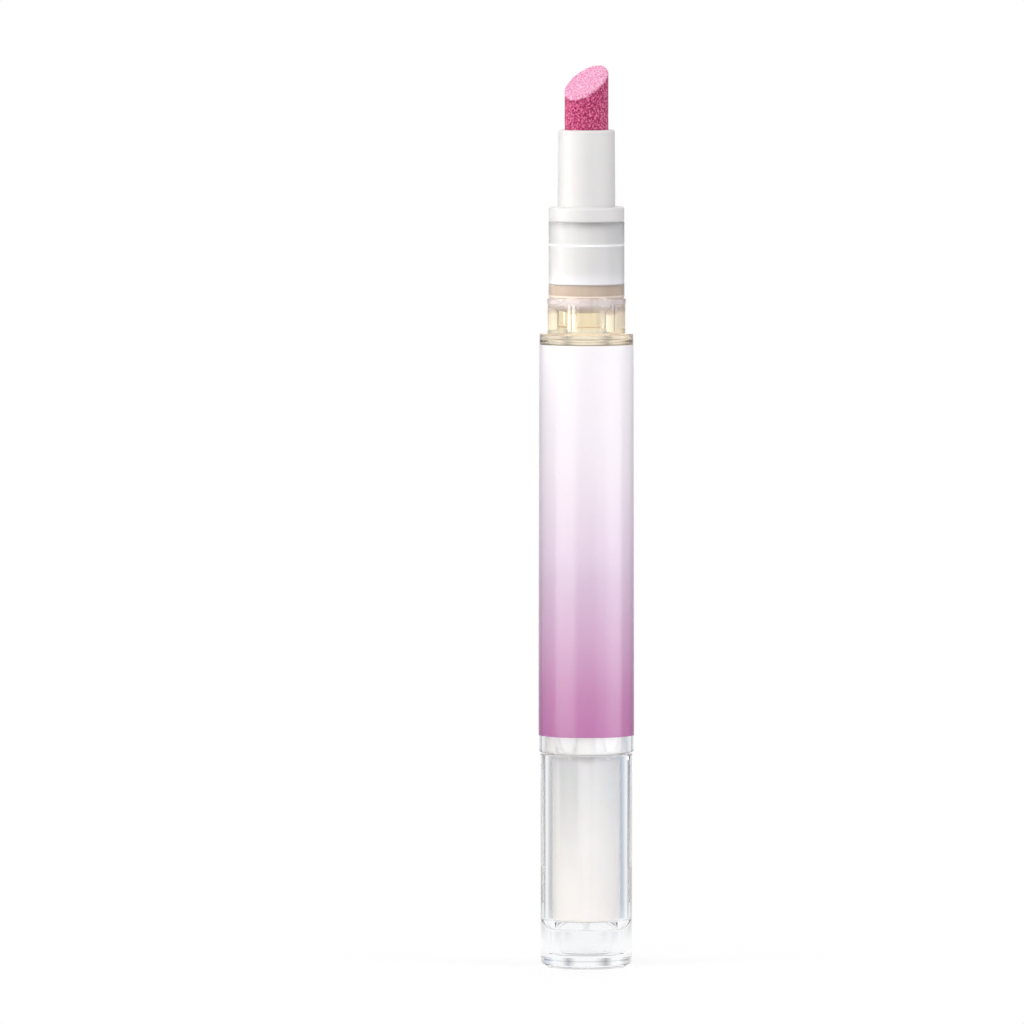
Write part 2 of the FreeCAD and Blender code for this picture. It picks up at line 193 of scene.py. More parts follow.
add(sky, "ShaderNodeOutputWorld", None, {"Surface": light.outputs[0]})
print("world of", len(sky.nodes), "nodes")

# %% Floor
FLOOR_R = 100 * MM

disc = bmesh.new()
bmesh.ops.create_circle(disc, cap_ends=True, segments=96, radius=FLOOR_R)
floor_data = bpy.data.meshes.new("pale_floor")
disc.to_mesh(floor_data)
disc.free()
floor = put("pale_floor", floor_data)
print("floor", round(2 * FLOOR_R / MM), "mm across")

# %% Floor paint
# Where the shading around the knob ends, and where the floor starts and ends to melt away, in mm.
SHADE_R, MELT_FROM, MELT_TO = 60.0, 35.0, 98.0

floor_paint, tree, mm = start_material("pale_floor_paint")
ray = add(tree, "ShaderNodeLightPath")
seen = add(tree, "ShaderNodeMath", {"operation": "MAXIMUM"},
           {0: ray.outputs["Is Camera Ray"], 1: ray.outputs["Is Glossy Ray"]})
seen = add(tree, "ShaderNodeMath", {"operation": "MAXIMUM"},
           {0: seen.outputs[0], 1: ray.outputs["Is Transmission Ray"]})
reach = add(tree, "ShaderNodeVectorMath", {"operation": "LENGTH"}, {0: mm})
# Under the middle of the base the floor's colour is painted darker, a painted shadow where the core
# keeps the light off, and in a ring under the knob's edge the floor glows nearly white, a painted
# light that the knob's seat mirrors. Further out its shading fades, and then it is white.
out = add(tree, "ShaderNodeMath", {"operation": "DIVIDE"}, {0: reach.outputs["Value"], 1: SHADE_R})
near = add(tree, "ShaderNodeValToRGB", None, {0: out.outputs[0]},
           [(0.055, "#C8C8C8"), (0.068, "#303030"), (0.095, "#303030"), (0.105, "#A0A0A0"),
            (0.4, "#5A5A5A"), (1.0, "#000000")])
# The floor's own colour, painted darker under the middle of the base: a painted shadow.
painted_shadow = add(tree, "ShaderNodeValToRGB", None, {0: out.outputs[0]},
            [(0.055, "#B0B0B0"), (0.068, "#F4F4F4")])
matt = add(tree, "ShaderNodeBsdfDiffuse", None, {"Color": painted_shadow.outputs[0]})
white = add(tree, "ShaderNodeEmission", None, {"Color": colour("#FFFFFF"), "Strength": 1.0})
shade = add(tree, "ShaderNodeMixShader", None,
            {0: near.outputs[0], 1: white.outputs[0], 2: matt.outputs[0]})
surface = add(tree, "ShaderNodeMixShader", None,
              {0: seen.outputs[0], 1: matt.outputs[0], 2: shade.outputs[0]})
# The floor melts into the white room, so that no edge of it shows through the clear knob.
edge = add(tree, "ShaderNodeMapRange", None,
           {"Value": reach.outputs["Value"], "From Min": MELT_FROM, "From Max": MELT_TO})
nothing = add(tree, "ShaderNodeBsdfTransparent")
surface = add(tree, "ShaderNodeMixShader", None,
              {0: edge.outputs[0], 1: surface.outputs[0], 2: nothing.outputs[0]})
add(tree, "ShaderNodeOutputMaterial", None, {"Surface": surface.outputs[0]})
floor_data.materials.append(floor_paint)
print("floor paint fades out at", MELT_TO, "mm")

# %% Soft boxes
# Distances, heights and sizes of the lamps are in metres, and the grid's angle is in degrees.
STRIP_FAR, STRIP_Z, STRIP_TALL = 0.3, 0.0305, 0.051
SIDE_FAR, SIDE_Z, SIDE_WIDE, SIDE_TALL = 0.35, 0.28, 0.22, 0.3
HIGH_FAR, HIGH_Z, HIGH_AIM, HIGH_WIDE, HIGH_TALL = 0.6, 0.55, 0.056, 0.5, 0.4
TIP_FAR, TIP_Z, TIP_AIM, TIP_WIDE, TIP_GRID = 0.2, 0.13, 0.098, 0.04, 8
NO_GRID = 180
LEFT_TINT, RIGHT_TINT, HIGH_TINT, TIP_TINT = "#FFFEFC", "#FCFCFF", "#FFFEFE", "#FFFFFC"


def soft_box(name, bearing, far, height, aim, width, tall, brightness, tint, spread=NO_GRID):
    """A soft box that looks at the pen's axis, at a bearing in degrees to the camera's right."""
    lamp = bpy.data.lights.new(name, "AREA")
    lamp.shape = "RECTANGLE"
    lamp.size = width
    lamp.size_y = tall
    lamp.energy = brightness * math.pi * width * tall
    lamp.color = colour(tint)[:3]
    lamp.spread = math.radians(spread)
    box = put(name, lamp)
    b = math.radians(bearing)
    box.location = (math.sin(b) * far, -math.cos(b) * far, height)
    box.rotation_euler = (Vector((0, 0, aim)) - box.location).to_track_quat("-Z", "Y").to_euler()
    box.visible_camera = False
    print(name, "at", [round(c, 2) for c in box.location])


# The low strips are what the label mirrors. A dim one lets the right band fade in softly.
for name, bearing, width, brightness, tint in (
        ("left_strip", -52, 0.3, 2.5, LEFT_TINT),
        ("right_strip", 70, 0.24, 2.7, RIGHT_TINT),
        ("right_dim_strip", 36, 0.12, 1.2, RIGHT_TINT)):
    soft_box(name, bearing, STRIP_FAR, STRIP_Z, STRIP_Z, width, STRIP_TALL, brightness, tint)
# The tall boxes above them and the two high ones only light the pen.
for name, bearing, brightness, tint in (
        ("left_soft_box", -54, 3.4, LEFT_TINT), ("right_soft_box", 62, 3.2, RIGHT_TINT)):
    soft_box(name, bearing, SIDE_FAR, SIDE_Z, SIDE_Z, SIDE_WIDE, SIDE_TALL, brightness, tint)
for name, bearing, brightness in (("front_soft_box", -8, 2.4), ("back_soft_box", 176, 2.0)):
    soft_box(name, bearing, HIGH_FAR, HIGH_Z, HIGH_AIM, HIGH_WIDE, HIGH_TALL, brightness, HIGH_TINT)
# A grid narrows the beam of the small box, so it lights the tip and the stem but not the label.
soft_box("tip_soft_box", -84, TIP_FAR, TIP_Z, TIP_AIM, TIP_WIDE, TIP_WIDE, 0.46, TIP_TINT, TIP_GRID)

# %% [markdown]
# ## Turning outlines
# Nearly every piece of the pen is turned: a half section swept about the axis. Blender's Screw
# modifier would do that too, but a small function that writes the rings itself also takes an
# outline with eased corners, a part sweep for the label and a shape that changes with the angle.

# %% Eased outlines
# A point this far beside each end of an arc keeps the smooth shading of the arc off the flat.
# A flat shorter than the least one gets none.
BESIDE_ARC, LEAST_FLAT = 0.1, 0.02


def eased(corners, steps=6):
    """An outline from (radius, height, rounding) corners in mm, with an arc at each rounding."""
    def cut(i):
        """How much of its two sides the rounding of a corner takes up."""
        here = Vector(corners[i][:2])
        back = Vector(corners[i - 1][:2]) - here
        ahead = Vector(corners[(i + 1) % len(corners)][:2]) - here
        return corners[i][2] / math.tan(back.angle(ahead) / 2) if corners[i][2] else 0.0

    line = []
    for i, (r, z, rounding) in enumerate(corners):
        here = Vector((r, z))
        if not rounding:
            line.append(here)
            continue
        after = (i + 1) % len(corners)
        back = Vector(corners[i - 1][:2]) - here
        ahead = Vector(corners[after][:2]) - here
        free_back = back.length - cut(i) - cut(i - 1)
        free_ahead = ahead.length - cut(i) - cut(after)
        half = back.angle(ahead) / 2
        back.normalize()
        ahead.normalize()
        centre = here + (back + ahead).normalized() * rounding / math.sin(half)
        first = here + back * cut(i)
        last = here + ahead * cut(i)
        a0 = math.atan2(first.y - centre.y, first.x - centre.x)
        a1 = math.atan2(last.y - centre.y, last.x - centre.x)
        swing = (a1 - a0 + math.pi) % (2 * math.pi) - math.pi
        if free_back > LEAST_FLAT:
            line.append(first + back * min(BESIDE_ARC, free_back / 4))
        for k in range(steps + 1):
            a = a0 + swing * k / steps
            line.append(centre + Vector((math.cos(a), math.sin(a))) * rounding)
        if free_ahead > LEAST_FLAT:
            line.append(last + ahead * min(BESIDE_ARC, free_ahead / 4))
    return line


print("one eased corner:", len(eased([(0, 0, 0), (2, 0, 0.5), (2, 2, 0)])) - 2, "points")

# %% Turning
ROUND_STEPS = 192
ON_AXIS = 1e-6


def turn(mesh, outline, first=0.0, sweep=360.0, steps=ROUND_STEPS, shape=None):
    """Adds a turned solid to a bmesh. shape(radius, height, degrees) may move a point of a ring."""
    whole = sweep == 360.0
    count = steps if whole else steps + 1
    columns = []
    for r, z in outline:
        if r < ON_AXIS:
            columns.append([mesh.verts.new((0, 0, z * MM))] * count)
            continue
        ring = []
        for k in range(count):
            degrees = first + sweep * k / steps
            a = math.radians(degrees)
            out, up = shape(r, z, degrees) if shape else (r, z)
            ring.append(mesh.verts.new((out * math.cos(a) * MM, out * math.sin(a) * MM, up * MM)))
        columns.append(ring)
    for low, high in zip(columns, columns[1:] + columns[:1]):
        for k in range(steps):
            n = (k + 1) % count
            corners = list(dict.fromkeys([low[k], low[n], high[n], high[k]]))
            if len(corners) > 2:
                mesh.faces.new(corners)
    if not whole:
        mesh.faces.new([c[0] for c in columns])
        mesh.faces.new([c[-1] for c in reversed(columns)])


print("a turned piece has", ROUND_STEPS, "sides")

# %% Making a piece
def piece(name, mesh, material, body, sharp=32):
    """Makes the object of a finished bmesh, smooth but for edges over the sharp angle."""
    bmesh.ops.recalc_face_normals(mesh, faces=mesh.faces)
    data = bpy.data.meshes.new(name)
    mesh.to_mesh(data)
    mesh.free()
    data.shade_smooth()
    data.set_sharp_from_angle(angle=math.radians(sharp))
    data.materials.append(material)
    made = put(name, data)
    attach(made, body)
    print(name, len(data.polygons), "faces")
    return made


def dress(node, material):
    """Gives a CAD solid that is kept its finish."""
    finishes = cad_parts[node].data.materials
    finishes.clear()
    finishes.append(material)
    print(node, "in", material.name)


def heights(node):
    """The lowest and highest point of a CAD node, in mm."""
    low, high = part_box(node)
    return low.z / MM, high.z / MM


print("the barrel is", round(heights("barrel")[1] - heights("barrel")[0], 1), "mm tall")

# %% [markdown]
# ## Clear styrene-acrylonitrile
# The knob and the barrel are moulded in a clear plastic like SAN, in a polished steel mould. It
# bends light a little more than acrylic, and its edges take their darks from the room around them.
# The melt leaves long, slow flow marks, which show only as a faint change in the polish. A glass
# shader would look alike, but the Principled one is the same for every piece here.

# %% Clear plastic
# A flow mark is nearly 3 mm wide and much longer up the wall.
FLOW_WIDE, FLOW_LONG = 1 / 0.35, 12.5

clear_san, tree, mm = start_material("clear_san_polished_moulding")
flow = add(tree, "ShaderNodeMapping", None,
           {"Vector": mm, "Scale": (1 / FLOW_WIDE, 1 / FLOW_WIDE, 1 / FLOW_LONG)})
waves = add(tree, "ShaderNodeTexNoise", None,
            {"Vector": flow.outputs[0], "Scale": 1.0, "Detail": 1.0})
haze = add(tree, "ShaderNodeMapRange", None,
           {"Value": waves.outputs[0], "To Min": 0.0, "To Max": 0.01})
surface = add(tree, "ShaderNodeBsdfPrincipled", None, {
    "Base Color": colour("#FAFBFC"), "Roughness": haze.outputs[0], "IOR": 1.5,
    "Transmission Weight": 1.0})
add(tree, "ShaderNodeOutputMaterial", None, {"Surface": surface.outputs[0]})
print(clear_san.name, "made")

# %% [markdown]
# ## Knob
# The knob is a thick cup. Its bore holds the white drive core, two keyways beside it stop the
# core from slipping, and below the core a well keeps the base from being one thick lump, which
# would shrink and cloud in the mould. It is turned from one outline, and the keyways are pressed
# out of the bore by the shape function. A Boolean could cut them too, but it would leave uneven
# faces, and clear plastic shows those.

# %% Knob
KNOB_FOOT_R, KNOB_RIM_R, KNOB_BORE_R, KEYWAY_R = 5.72, 5.79, 4.3, 4.65
WELL_R, WELL_FLOOR, SEAT_LOW, SEAT_HIGH, KEYWAY_LOW = 3.35, 1.6, 4.8, 6.0, 12.5
# A dimple in the middle of the base keeps the gate mark off the table.
DIMPLE_R, DIMPLE_LIP_R, DIMPLE_DEEP = 0.7, 1.0, 0.12
# Half the angle of a keyway, the height of the step at its end, and how near two radii or heights
# have to be to count as the same.
KEYWAY_HALF, STEP, SAME = 5.7, 0.05, 0.01
knob_low, knob_high = heights("knob_shell")


def from_side(degrees):
    """How far a bearing lies from the nearer of the two sides, where the keys are."""
    return abs((degrees + 90) % 180 - 90)


def keyed_bore(r, z, degrees):
    """Presses the two keyways out of the bore."""
    if abs(r - KNOB_BORE_R) < SAME and z > KEYWAY_LOW and from_side(degrees) < KEYWAY_HALF:
        return KEYWAY_R, z
    return r, z


knob_line = eased([
    (0, knob_low + DIMPLE_DEEP, 0), (DIMPLE_R, knob_low + DIMPLE_DEEP, 0),
    (DIMPLE_LIP_R, knob_low, 0.1), (KNOB_FOOT_R, knob_low, 1.0), (KNOB_RIM_R, knob_high, 0.18),
    (KNOB_BORE_R, knob_high, 0.08), (KNOB_BORE_R, KEYWAY_LOW + STEP, 0),
    (KNOB_BORE_R, KEYWAY_LOW, 0), (KNOB_BORE_R, SEAT_HIGH, 0.5), (WELL_R, SEAT_LOW, 0.4),
    (WELL_R, WELL_FLOOR, 0.4), (0, WELL_FLOOR, 0),
], steps=8)
mesh = bmesh.new()
turn(mesh, knob_line, shape=keyed_bore)
knob = piece("knob_clear", mesh, clear_san, "knob")
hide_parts("knob_shell")
# Lamp light passes clear pieces on its way in, where a lamp's shadow ray would stop at them.
knob.visible_shadow = False

# %% [markdown]
# ## Natural polypropylene
# The core, the sleeve and the nut are moulded without pigment. Such polypropylene is milky: light
# goes in and comes out a little further on. The core is painted greyer towards its top, and three
# greyer bands are painted up its side: both are painted shade. Scattering alone could show shade
# there, but it is slow and grainy behind clear plastic, so only a quarter of it is used and painted
# shade by height does the rest.

# %% Natural polypropylene
# Heights between which the core's painted shade and its bands of painted shade change, in mm, and
# where one band stands.
CORE_SHADE_LOW, CORE_SHADE_HIGH, SHADE_BAND_LOW, SHADE_BAND_HIGH = 6.0, 30.0, 11.0, 25.0
SHADE_BANDS, SHADE_BAND_BEARING = 3, -119.0
# The melt's clouds, and the mould's grain, which is drawn coarser than it is so that it shows.
MILK_CLOUD, MILK_GRAIN = 5 / 3, 1 / 6

natural_pp, tree, mm = start_material("natural_polypropylene_moulded")
height = add(tree, "ShaderNodeSeparateXYZ", None, {0: mm})
rise = add(tree, "ShaderNodeMapRange", None,
           {"Value": height.outputs["Z"], "From Min": CORE_SHADE_LOW, "From Max": CORE_SHADE_HIGH})
# The tone by height is painted shade: the core greys towards its top.
tone = add(tree, "ShaderNodeValToRGB", None, {0: rise.outputs[0]},
           [(0.0, "#E9E4DF"), (0.39, "#E6E2DE"), (0.7, "#DBD9D8"), (0.862, "#D4D2D2"),
            (0.874, "#E4E2DF")])
# Three bands of painted shade run up the core and grow greyer towards the top.
turned = add(tree, "ShaderNodeMath", {"operation": "ARCTAN2"},
             {0: height.outputs["Y"], 1: height.outputs["X"]})
thirds = add(tree, "ShaderNodeMath", {"operation": "MULTIPLY_ADD"},
             {0: turned.outputs[0], 1: SHADE_BANDS, 2: math.radians(-SHADE_BANDS * SHADE_BAND_BEARING)})
swing = add(tree, "ShaderNodeMath", {"operation": "COSINE"}, {0: thirds.outputs[0]})
shade_band = add(tree, "ShaderNodeMapRange", {"interpolation_type": "SMOOTHSTEP"},
            {"Value": swing.outputs[0], "From Min": 0.5, "From Max": 0.8})
band_shade = add(tree, "ShaderNodeMapRange", None,
           {"Value": height.outputs["Z"], "From Min": SHADE_BAND_LOW, "From Max": SHADE_BAND_HIGH, "To Max": 0.5})
band_shade = add(tree, "ShaderNodeMath", {"operation": "MULTIPLY"},
           {0: band_shade.outputs[0], 1: shade_band.outputs[0]})
tone = add(tree, "ShaderNodeMix", MIX,
           {0: band_shade.outputs[0], 6: tone.outputs[0], 7: colour("#B4B3B3")})
cloud = add(tree, "ShaderNodeTexNoise", None, {"Vector": mm, "Scale": 1 / MILK_CLOUD, "Detail": 3.0})
milky = add(tree, "ShaderNodeMix", SOFT_LIGHT,
            {0: 0.15, 6: tone.outputs[2], 7: cloud.outputs["Color"]})
grain = add(tree, "ShaderNodeTexNoise", None, {"Vector": mm, "Scale": 1 / MILK_GRAIN, "Detail": 4.0})
relief = add(tree, "ShaderNodeBump", None,
             {"Height": grain.outputs[0], "Strength": 0.2, "Distance": 0.02 * MM})
gloss = add(tree, "ShaderNodeMapRange", None,
            {"Value": grain.outputs[0], "To Min": 0.38, "To Max": 0.55})
surface = add(tree, "ShaderNodeBsdfPrincipled", None, {
    "Base Color": milky.outputs[2], "Roughness": gloss.outputs[0], "IOR": 1.49,
    "Subsurface Weight": 0.25, "Subsurface Radius": (1.0, 0.95, 0.9), "Subsurface Scale": 0.8 * MM,
    "Normal": relief.outputs[0]})
add(tree, "ShaderNodeOutputMaterial", None, {"Surface": surface.outputs[0]})
dress("thread_nut", natural_pp)

# %% [markdown]
# ## Drive core and ratchet sleeve
# Both show through clear plastic, so they are turned again with finer rounds than the CAD solids
# have. The core carries its two keys, the slots for the click spring and the flat-sided collar
# that drives the rod. The sleeve has the saw teeth that the spring clicks over. Shape functions
# press these out of the rings, as in the knob.

# %% Drive core
CORE_R, CORE_FOOT_R, CORE_FOOT_Z, CORE_KEY_R, QUILL_R, STORE_R = 4.2, 3.65, 6.0, 4.55, 3.32, 2.82
CORE_SHOULDER, KEY_LOW, KEY_HALF, STORE_LOW, COLLAR_LOW = 26.6, 12.6, 5.0, 6.5, 33.7
SLOT_LOW, SLOT_HALF, DRIVE_R, DRIVE_FLAT, CHAMFER = 25.85, 8.5, 2.58, 1.08, 0.06
# The snap ring: its middle, half its height, how far it stands out and how far its crest is lower.
SNAP_Z, SNAP_HALF, SNAP_OUT, SNAP_DROP = 38.0, 0.4, 0.3, 0.1
core_low, core_high = heights("drive_core")


def core_form(r, z, degrees):
    """Presses out the two keys, the two slots in the shoulder and the collar's flats."""
    if abs(r - CORE_R) < SAME and KEY_LOW < z < CORE_SHOULDER and from_side(degrees) < KEY_HALF:
        return CORE_KEY_R, z
    on_shoulder = QUILL_R + SAME < r < CORE_R - CHAMFER + SAME and z > CORE_SHOULDER - SAME
    if on_shoulder and 90 - from_side(degrees) < SLOT_HALF:
        return r, SLOT_LOW
    if abs(r - DRIVE_R) < SAME and z > COLLAR_LOW - SAME:
        lean = abs(math.cos(math.radians(degrees)))
        return DRIVE_FLAT / max(lean, DRIVE_FLAT / r), z
    return r, z


core_line = eased([
    (0, core_low, 0), (CORE_FOOT_R, core_low, 0.15), (CORE_R, CORE_FOOT_Z, 0.3),
    (CORE_R, KEY_LOW, 0), (CORE_R, KEY_LOW + STEP, 0), (CORE_R, CORE_SHOULDER - STEP, 0),
    (CORE_R - CHAMFER, CORE_SHOULDER, 0), (CORE_R - 2 * CHAMFER, CORE_SHOULDER, 0),
    (QUILL_R + STEP, CORE_SHOULDER, 0), (QUILL_R, CORE_SHOULDER, 0),
    (QUILL_R, SNAP_Z - SNAP_HALF, 0), (QUILL_R + SNAP_OUT, SNAP_Z - SNAP_DROP, 0.08),
    (QUILL_R, SNAP_Z + SNAP_HALF, 0), (QUILL_R, core_high, 0.1), (DRIVE_R, core_high, 0),
    (DRIVE_R, COLLAR_LOW, 0), (STORE_R, COLLAR_LOW, 0), (STORE_R, STORE_LOW, 0.2), (0, STORE_LOW, 0),
])
mesh = bmesh.new()
turn(mesh, core_line, shape=core_form)
core = piece("drive_core_milky", mesh, natural_pp, "knob")
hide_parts("drive_core")

# %% Ratchet sleeve
SLEEVE_R, SLEEVE_BORE_R, SNAP_GROOVE_R, SNAP_GROOVE_HALF = 4.97, 3.4, QUILL_R + 0.6, 0.7
TEETH, TEETH_TOP, TOOTH_ROOT_R, TOOTH_TALL, TOOTH_STEPS = 18, 29.8, 4.5, 0.35, 12
# A saw tooth rises over most of its pitch and drops over the rest.
TOOTH_RISE, TOOTH_DROP = 0.925, 0.075
sleeve_low, sleeve_high = heights("ratchet_sleeve")


def sleeve_form(r, z, degrees):
    """Presses the saw teeth in from their root."""
    if abs(r - TOOTH_ROOT_R) < SAME and z < TEETH_TOP + SAME:
        along = degrees * TEETH / 360 % 1
        return r - TOOTH_TALL * min(along / TOOTH_RISE, (1 - along) / TOOTH_DROP), z
    return r, z


sleeve_line = eased([
    (TOOTH_ROOT_R, sleeve_low, 0), (SLEEVE_R, sleeve_low, 0.12), (SLEEVE_R, sleeve_high, 0.1),
    (SLEEVE_BORE_R, sleeve_high, 0), (SLEEVE_BORE_R, SNAP_Z + SNAP_GROOVE_HALF, 0),
    (SNAP_GROOVE_R, SNAP_Z + SNAP_GROOVE_HALF, 0), (SNAP_GROOVE_R, SNAP_Z - SNAP_GROOVE_HALF, 0),
    (SLEEVE_BORE_R, SNAP_Z - SNAP_GROOVE_HALF, 0), (SLEEVE_BORE_R, TEETH_TOP, 0),
    (TOOTH_ROOT_R, TEETH_TOP, 0),
])
mesh = bmesh.new()
turn(mesh, sleeve_line, steps=TOOTH_STEPS * TEETH, shape=sleeve_form)
sleeve = piece("ratchet_sleeve_milky", mesh, natural_pp, "barrel")
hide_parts("ratchet_sleeve")

# %% [markdown]
# ## Acetal and polyethylene
# The click spring and the rod are acetal, a slippery, dense white plastic, and the piston is soft
# polyethylene so that its lips seal. They are hidden inside and could stay plain, but they come
# apart with the rest, so they get their own finishes on the CAD solids: acetal with a low sheen,
# polyethylene waxy and a little translucent.

# %% Acetal
# The grain is drawn coarser than it is, a third of a millimetre, so that it shows.
ACETAL_GRAIN = 1 / 3

acetal, tree, mm = start_material("natural_acetal_moulded")
fine = add(tree, "ShaderNodeTexNoise", None, {"Vector": mm, "Scale": 1 / ACETAL_GRAIN, "Detail": 5.0})
tone = add(tree, "ShaderNodeValToRGB", None, {0: fine.outputs[0]},
           [(0.3, "#EFEEE8"), (0.7, "#F6F5F1")])
gloss = add(tree, "ShaderNodeMapRange", None,
            {"Value": fine.outputs[0], "To Min": 0.28, "To Max": 0.42})
relief = add(tree, "ShaderNodeBump", None,
             {"Height": fine.outputs[0], "Strength": 0.15, "Distance": 0.01 * MM})
surface = add(tree, "ShaderNodeBsdfPrincipled", None, {
    "Base Color": tone.outputs[0], "Roughness": gloss.outputs[0], "IOR": 1.48,
    "Normal": relief.outputs[0]})
add(tree, "ShaderNodeOutputMaterial", None, {"Surface": surface.outputs[0]})
for node in ("click_spring", "screw_rod"):
    dress(node, acetal)

# %% Polyethylene
WAX_PATCH = 2 / 3

soft_pe, tree, mm = start_material("soft_polyethylene_moulded")
waxy = add(tree, "ShaderNodeTexNoise", None, {"Vector": mm, "Scale": 1 / WAX_PATCH, "Detail": 3.0})
tone = add(tree, "ShaderNodeValToRGB", None, {0: waxy.outputs[0]},
           [(0.3, "#EDEBE2"), (0.7, "#F5F4EE")])
gloss = add(tree, "ShaderNodeMapRange", None,
            {"Value": waxy.outputs[0], "To Min": 0.4, "To Max": 0.55})
surface = add(tree, "ShaderNodeBsdfPrincipled", None, {
    "Base Color": tone.outputs[0], "Roughness": gloss.outputs[0], "IOR": 1.51,
    "Subsurface Weight": 0.3, "Subsurface Radius": (1.0, 0.95, 0.85), "Subsurface Scale": 0.6 * MM})
add(tree, "ShaderNodeOutputMaterial", None, {"Surface": surface.outputs[0]})
dress("piston", soft_pe)

# %% [markdown]
# ## Barrel
# One clear moulding makes the bore, the shoulder and the neck that the cap slides over. Its sides
# lean in by less than a tenth of a millimetre so that it leaves the mould. It could be a cylinder
# with bevels, but on clear plastic every corner shows as a bright or dark line, so the outline
# eases each one by its own amount.

# %% Barrel
BARREL_FOOT_R, BARREL_TOP_R, BORE_R, NECK_BORE_R = 5.94, 5.87, 5.0, 3.8
NECK_R, NECK_FOOT_R, BEAD_R = 4.77, 4.89, 4.94
FUNNEL_LOW, FUNNEL_HIGH, SHOULDER, BEAD_LOW, BEAD_HIGH = 77.4, 78.6, 79.4, 83.0, 83.75
# The neck is a little undercut below the bead, which slopes out and leans, and grooved above it.
UNDERCUT, UNDERCUT_TALL, BEAD_SLOPE, BEAD_LEAN = 0.05, 0.12, 0.1, 0.03
GROOVE, GROOVE_LOW, GROOVE_HIGH = 0.1, 0.08, 0.2
barrel_low, neck_top = heights("barrel")
barrel_line = eased([
    (BARREL_FOOT_R, barrel_low, 0.18), (BARREL_TOP_R, SHOULDER, 0.18), (NECK_FOOT_R, SHOULDER, 0.12),
    (NECK_FOOT_R, BEAD_LOW - UNDERCUT_TALL, 0.05), (NECK_FOOT_R - UNDERCUT, BEAD_LOW, 0.05),
    (BEAD_R, BEAD_LOW + BEAD_SLOPE, 0.06), (BEAD_R, BEAD_HIGH - BEAD_LEAN, 0.1),
    (NECK_R - GROOVE, BEAD_HIGH + BEAD_LEAN, 0.05), (NECK_R - GROOVE, BEAD_HIGH + GROOVE_LOW, 0.05),
    (NECK_R, BEAD_HIGH + GROOVE_HIGH, 0.06), (NECK_R, neck_top, 0.15), (NECK_BORE_R, neck_top, 0.08),
    (NECK_BORE_R, FUNNEL_HIGH, 0.3), (BORE_R, FUNNEL_LOW, 0.3), (BORE_R, barrel_low, 0.05),
])
mesh = bmesh.new()
turn(mesh, barrel_line)
barrel = piece("barrel_clear", mesh, clear_san, "barrel")
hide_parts("barrel")
barrel.visible_shadow = False

# %% [markdown]
# ## Label
# The label is a white film wrapped around the barrel and printed with a fade from white to mauve.
# Its gloss varnish shows the low strips. A picture could carry the fade, but a ramp along the
# height needs no picture and stays smooth. The print's dots would be far too fine to show here, so
# they are drawn as a faint mottle a quarter of a millimetre wide.

# %% Printed film
PRINT_DOT = 0.25
label_low, label_high = heights("label")

label_film, tree, mm = start_material("white_film_printed_and_varnished")
height = add(tree, "ShaderNodeSeparateXYZ", None, {0: mm})
rise = add(tree, "ShaderNodeMapRange", None,
           {"Value": height.outputs["Z"], "From Min": label_low, "From Max": label_high})
fade = add(tree, "ShaderNodeValToRGB", None, {0: rise.outputs[0]},
           [(0.0, "#B777A7"), (0.1, "#BF86B0"), (0.24, "#CAA3C2"), (0.45, "#D5C3D6"),
            (0.7, "#E4DCE7"), (1.0, "#EDEAF1")])
dots = add(tree, "ShaderNodeTexNoise", None, {"Vector": mm, "Scale": 1 / PRINT_DOT, "Detail": 2.0})
print_tone = add(tree, "ShaderNodeMix", SOFT_LIGHT,
                 {0: 0.05, 6: fade.outputs[0], 7: dots.outputs["Color"]})
gloss = add(tree, "ShaderNodeMapRange", None,
            {"Value": dots.outputs[0], "To Min": 0.3, "To Max": 0.4})
surface = add(tree, "ShaderNodeBsdfPrincipled", None, {
    "Base Color": print_tone.outputs[2], "Roughness": gloss.outputs[0], "IOR": 1.5,
    "Subsurface Weight": 0.6, "Subsurface Radius": (1.0, 1.0, 1.0), "Subsurface Scale": 0.25 * MM,
    "Coat Weight": 1.0, "Coat Roughness": 0.2, "Coat IOR": 1.5})
add(tree, "ShaderNodeOutputMaterial", None, {"Surface": surface.outputs[0]})
print("the fade is", round(label_high - label_low, 1), "mm tall")

# %% Label
# The film is stuck on, so it reaches a hair into the wall. Half the angle of its seam is in degrees.
LABEL_T, LABEL_IN, LABEL_EDGE, SEAM = 0.078, 0.01, 0.02, 2.4
draft = (BARREL_FOOT_R - BARREL_TOP_R) / (SHOULDER - barrel_low)
wall_low = BARREL_FOOT_R - draft * (label_low - barrel_low) - LABEL_IN
wall_high = BARREL_FOOT_R - draft * (label_high - barrel_low) - LABEL_IN
mesh = bmesh.new()
turn(mesh, eased([
    (wall_low, label_low, 0), (wall_low + LABEL_T, label_low, LABEL_EDGE),
    (wall_high + LABEL_T, label_high, LABEL_EDGE), (wall_high, label_high, 0),
], steps=3), first=90 + SEAM, sweep=360 - 2 * SEAM)
label = piece("label_film", mesh, label_film, "barrel")
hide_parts("label")
# White film lets much light through, so lamp light also reaches the oil and the film's far side.
label.visible_shadow = False

# %% [markdown]
# ## Oil
# The oil wets the barrel, so there is no air between them. A gap would mirror like a bubble, so
# the oil reaches a hair into the wall, and light then bends as if the two touched. Real oil is
# golden by its depth. Here the tint is on its surface, because a volume would also swallow the
# lamp light on its way in. The column in the bore is its own piece, apart from the oil in the neck.

# %% Golden oil
TINT_LOW, TINT_HIGH, SWIRL = 78.0, 86.0, 4.0

golden_oil, tree, mm = start_material("golden_oil_liquid")
height = add(tree, "ShaderNodeSeparateXYZ", None, {0: mm})
swirl = add(tree, "ShaderNodeTexNoise", None, {"Vector": mm, "Scale": 1 / SWIRL, "Detail": 1.0})
